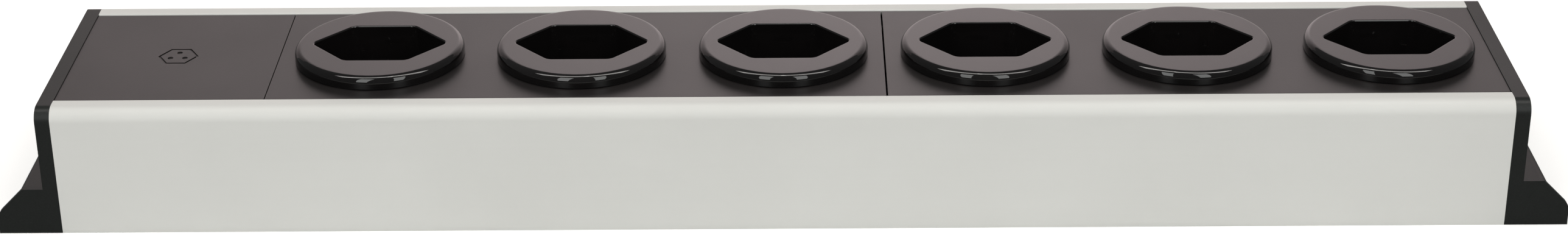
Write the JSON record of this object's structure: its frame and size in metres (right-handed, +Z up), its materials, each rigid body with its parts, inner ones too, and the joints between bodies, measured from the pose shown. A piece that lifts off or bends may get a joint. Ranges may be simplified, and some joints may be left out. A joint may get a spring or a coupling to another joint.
{
  "type": "desk power strip",
  "caption": "Desk power strip: aluminium profile with dark covers, a row of round gloss sockets with hexagonal recesses, and black end caps with mounting feet.",
  "frame": {"origin": "centre of the footprint, on the surface the strip stands on", "axes": "+X along the strip with the blank cover at -X, -Y towards the front, +Z up"},
  "size_m": [0.442, 0.074, 0.0416],
  "materials": {
    "aluminium_anodised": "fine satin anodised",
    "cap_black": "fine moulded grain",
    "cover_charcoal": "fine moulded grain",
    "insert_gloss_black": "polished",
    "base_grey": "moulded",
    "base_cover_black": "moulded",
    "shutter_white": "moulded",
    "contact_brass": "rolled",
    "tinned_brass": "tinned",
    "spring_steel": "drawn wire",
    "zinc_screw": "zinc plated",
    "wire_brown": "wire insulation",
    "wire_blue": "wire insulation",
    "wire_green_yellow": "wire insulation",
    "liner_film": "smooth film",
    "inlet_black": "moulded"
  },
  "bodies": {
    "housing": {"housing_profile": "aluminium_anodised", "end_cap_left": "cap_black", "end_cap_right": "cap_black", "end_cap_screws": "zinc_screw", "blank_cover": "cover_charcoal", "cover_plate_left": "cover_charcoal", "cover_plate_right": "cover_charcoal", "socket_insert_1": "insert_gloss_black", "socket_insert_2": "insert_gloss_black", "socket_insert_3": "insert_gloss_black", "socket_insert_4": "insert_gloss_black", "socket_insert_5": "insert_gloss_black", "socket_insert_6": "insert_gloss_black", "shutter_spring_1": "spring_steel", "shutter_spring_2": "spring_steel", "shutter_spring_3": "spring_steel", "shutter_spring_4": "spring_steel", "shutter_spring_5": "spring_steel", "shutter_spring_6": "spring_steel", "module_base_left": "base_grey", "module_base_right": "base_grey", "base_cover_left": "base_cover_black", "base_cover_right": "base_cover_black", "live_bar_left": "contact_brass", "live_bar_right": "contact_brass", "neutral_bar_left": "contact_brass", "neutral_bar_right": "contact_brass", "earth_bar_left": "contact_brass", "earth_bar_right": "contact_brass", "module_screws_left": "zinc_screw", "module_screws_right": "zinc_screw", "inlet_body": "inlet_black", "inlet_pins": "contact_brass", "inlet_screws": "zinc_screw", "inlet_receptacles": "tinned_brass", "live_wire": "wire_brown", "neutral_wire": "wire_blue", "earth_wire": "wire_green_yellow", "live_link": "wire_brown", "neutral_link": "wire_blue", "earth_link": "wire_green_yellow", "earth_bond_wire": "wire_green_yellow", "earth_lug": "tinned_brass", "earth_screw": "zinc_screw", "insulating_liner": "liner_film"},
    "shutter_1": {"shutter_1": "shutter_white"},
    "shutter_2": {"shutter_2": "shutter_white"},
    "shutter_3": {"shutter_3": "shutter_white"},
    "shutter_4": {"shutter_4": "shutter_white"},
    "shutter_5": {"shutter_5": "shutter_white"},
    "shutter_6": {"shutter_6": "shutter_white"}
  },
  "joints": [
    {"name": "shutter_1_slide", "type": "slide", "parent": "housing", "child": "shutter_1", "axis": [0, 1, 0], "range_m": [0, 0.0058], "stiffness_N_per_m": 60, "springref_m": -0.002, "deforming": ["shutter_spring_1"]},
    {"name": "shutter_2_slide", "type": "slide", "parent": "housing", "child": "shutter_2", "axis": [0, 1, 0], "range_m": [0, 0.0058], "stiffness_N_per_m": 60, "springref_m": -0.002, "deforming": ["shutter_spring_2"]},
    {"name": "shutter_3_slide", "type": "slide", "parent": "housing", "child": "shutter_3", "axis": [0, 1, 0], "range_m": [0, 0.0058], "stiffness_N_per_m": 60, "springref_m": -0.002, "deforming": ["shutter_spring_3"]},
    {"name": "shutter_4_slide", "type": "slide", "parent": "housing", "child": "shutter_4", "axis": [0, 1, 0], "range_m": [0, 0.0058], "stiffness_N_per_m": 60, "springref_m": -0.002, "deforming": ["shutter_spring_4"]},
    {"name": "shutter_5_slide", "type": "slide", "parent": "housing", "child": "shutter_5", "axis": [0, 1, 0], "range_m": [0, 0.0058], "stiffness_N_per_m": 60, "springref_m": -0.002, "deforming": ["shutter_spring_5"]},
    {"name": "shutter_6_slide", "type": "slide", "parent": "housing", "child": "shutter_6", "axis": [0, 1, 0], "range_m": [0, 0.0058], "stiffness_N_per_m": 60, "springref_m": -0.002, "deforming": ["shutter_spring_6"]}
  ]
}
